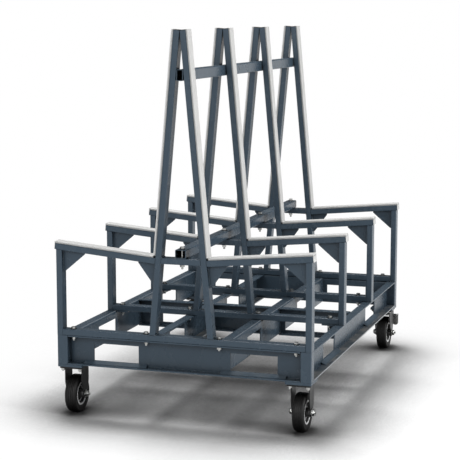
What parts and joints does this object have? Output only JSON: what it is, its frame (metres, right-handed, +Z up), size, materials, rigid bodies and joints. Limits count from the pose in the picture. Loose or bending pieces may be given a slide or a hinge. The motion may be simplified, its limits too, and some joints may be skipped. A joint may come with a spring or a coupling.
{
  "type": "sheet goods cart",
  "caption": "Steel cart for standing slabs and sheets on both sides of an A-shaped rack, with padded ledges, fork pockets on every side, fixed front casters and braked rear swivel casters.",
  "frame": {"origin": "on the floor, at the middle of the cart's footprint box", "axes": "+X to the cart's right, +Y towards the swivel casters at the rear, +Z up"},
  "size_m": [1.217, 1.9022, 1.7605],
  "materials": {
    "slate_powder_coat": "satin slate-blue powder coat with a fine texture",
    "pale_plastic": "matt off-white plastic with soft edges",
    "black_caster_steel": "semi-gloss black coat",
    "cast_rim": "turned cast metal",
    "black_rubber": "matt black rubber",
    "zinc_steel": "bright zinc plate"
  },
  "bodies": {
    "root": {"support_frame_1": "slate_powder_coat", "support_frame_2": "slate_powder_coat", "support_frame_3": "slate_powder_coat", "support_frame_4": "slate_powder_coat", "a_frame_1": "slate_powder_coat", "a_frame_2": "slate_powder_coat", "a_frame_3": "slate_powder_coat", "a_frame_4": "slate_powder_coat", "left_beam_strip_1": "pale_plastic", "left_beam_strip_2": "pale_plastic", "left_beam_strip_3": "pale_plastic", "left_beam_strip_4": "pale_plastic", "right_beam_strip_1": "pale_plastic", "right_beam_strip_2": "pale_plastic", "right_beam_strip_3": "pale_plastic", "right_beam_strip_4": "pale_plastic", "left_upright_strip_1": "pale_plastic", "left_upright_strip_2": "pale_plastic", "left_upright_strip_3": "pale_plastic", "left_upright_strip_4": "pale_plastic", "right_upright_strip_1": "pale_plastic", "right_upright_strip_2": "pale_plastic", "right_upright_strip_3": "pale_plastic", "right_upright_strip_4": "pale_plastic", "ridge_tube": "slate_powder_coat", "spine_tube": "slate_powder_coat", "front_channel": "slate_powder_coat", "rear_channel": "slate_powder_coat", "left_rail": "slate_powder_coat", "right_rail": "slate_powder_coat", "left_inner_rail": "slate_powder_coat", "right_inner_rail": "slate_powder_coat", "left_middle_channel": "slate_powder_coat", "centre_middle_channel": "slate_powder_coat", "right_middle_channel": "slate_powder_coat", "front_left_leg": "slate_powder_coat", "front_right_leg": "slate_powder_coat", "rear_left_leg": "slate_powder_coat", "rear_right_leg": "slate_powder_coat", "front_left_bracket": "black_caster_steel", "front_right_bracket": "black_caster_steel", "front_left_axle": "zinc_steel", "front_right_axle": "zinc_steel", "rear_left_swivel_plate": "black_caster_steel", "rear_right_swivel_plate": "black_caster_steel"},
    "front_left_wheel": {"front_left_rim": "cast_rim", "front_left_tyre": "black_rubber"},
    "front_right_wheel": {"front_right_rim": "cast_rim", "front_right_tyre": "black_rubber"},
    "rear_left_swivel": {"rear_left_fork": "black_caster_steel", "rear_left_axle": "zinc_steel"},
    "rear_right_swivel": {"rear_right_fork": "black_caster_steel", "rear_right_axle": "zinc_steel"},
    "rear_left_wheel": {"rear_left_rim": "cast_rim", "rear_left_tyre": "black_rubber"},
    "rear_right_wheel": {"rear_right_rim": "cast_rim", "rear_right_tyre": "black_rubber"},
    "rear_left_brake": {"rear_left_brake_pedal": "zinc_steel"},
    "rear_right_brake": {"rear_right_brake_pedal": "zinc_steel"}
  },
  "joints": [
    {"name": "front_left_roll", "type": "hinge", "parent": "root", "child": "front_left_wheel", "pos_m": [-0.54, -0.8635, 0.08758], "axis": [1, 0, 0], "continuous": true},
    {"name": "front_right_roll", "type": "hinge", "parent": "root", "child": "front_right_wheel", "pos_m": [0.54, -0.8635, 0.08758], "axis": [1, 0, 0], "continuous": true},
    {"name": "rear_left_turn", "type": "hinge", "parent": "root", "child": "rear_left_swivel", "pos_m": [-0.54, 0.8335, 0.2], "axis": [0, 0, 1], "continuous": true},
    {"name": "rear_right_turn", "type": "hinge", "parent": "root", "child": "rear_right_swivel", "pos_m": [0.54, 0.8335, 0.2], "axis": [0, 0, 1], "continuous": true},
    {"name": "rear_left_roll", "type": "hinge", "parent": "rear_left_swivel", "child": "rear_left_wheel", "pos_m": [-0.54, 0.8635, 0.08758], "axis": [1, 0, 0], "continuous": true},
    {"name": "rear_right_roll", "type": "hinge", "parent": "rear_right_swivel", "child": "rear_right_wheel", "pos_m": [0.54, 0.8635, 0.08758], "axis": [1, 0, 0], "continuous": true},
    {"name": "rear_left_press", "type": "hinge", "parent": "rear_left_swivel", "child": "rear_left_brake", "pos_m": [-0.54, 0.8935, 0.194], "axis": [-1, 0, 0], "range_deg": [0, 18]},
    {"name": "rear_right_press", "type": "hinge", "parent": "rear_right_swivel", "child": "rear_right_brake", "pos_m": [0.54, 0.8935, 0.194], "axis": [-1, 0, 0], "range_deg": [0, 18]}
  ]
}
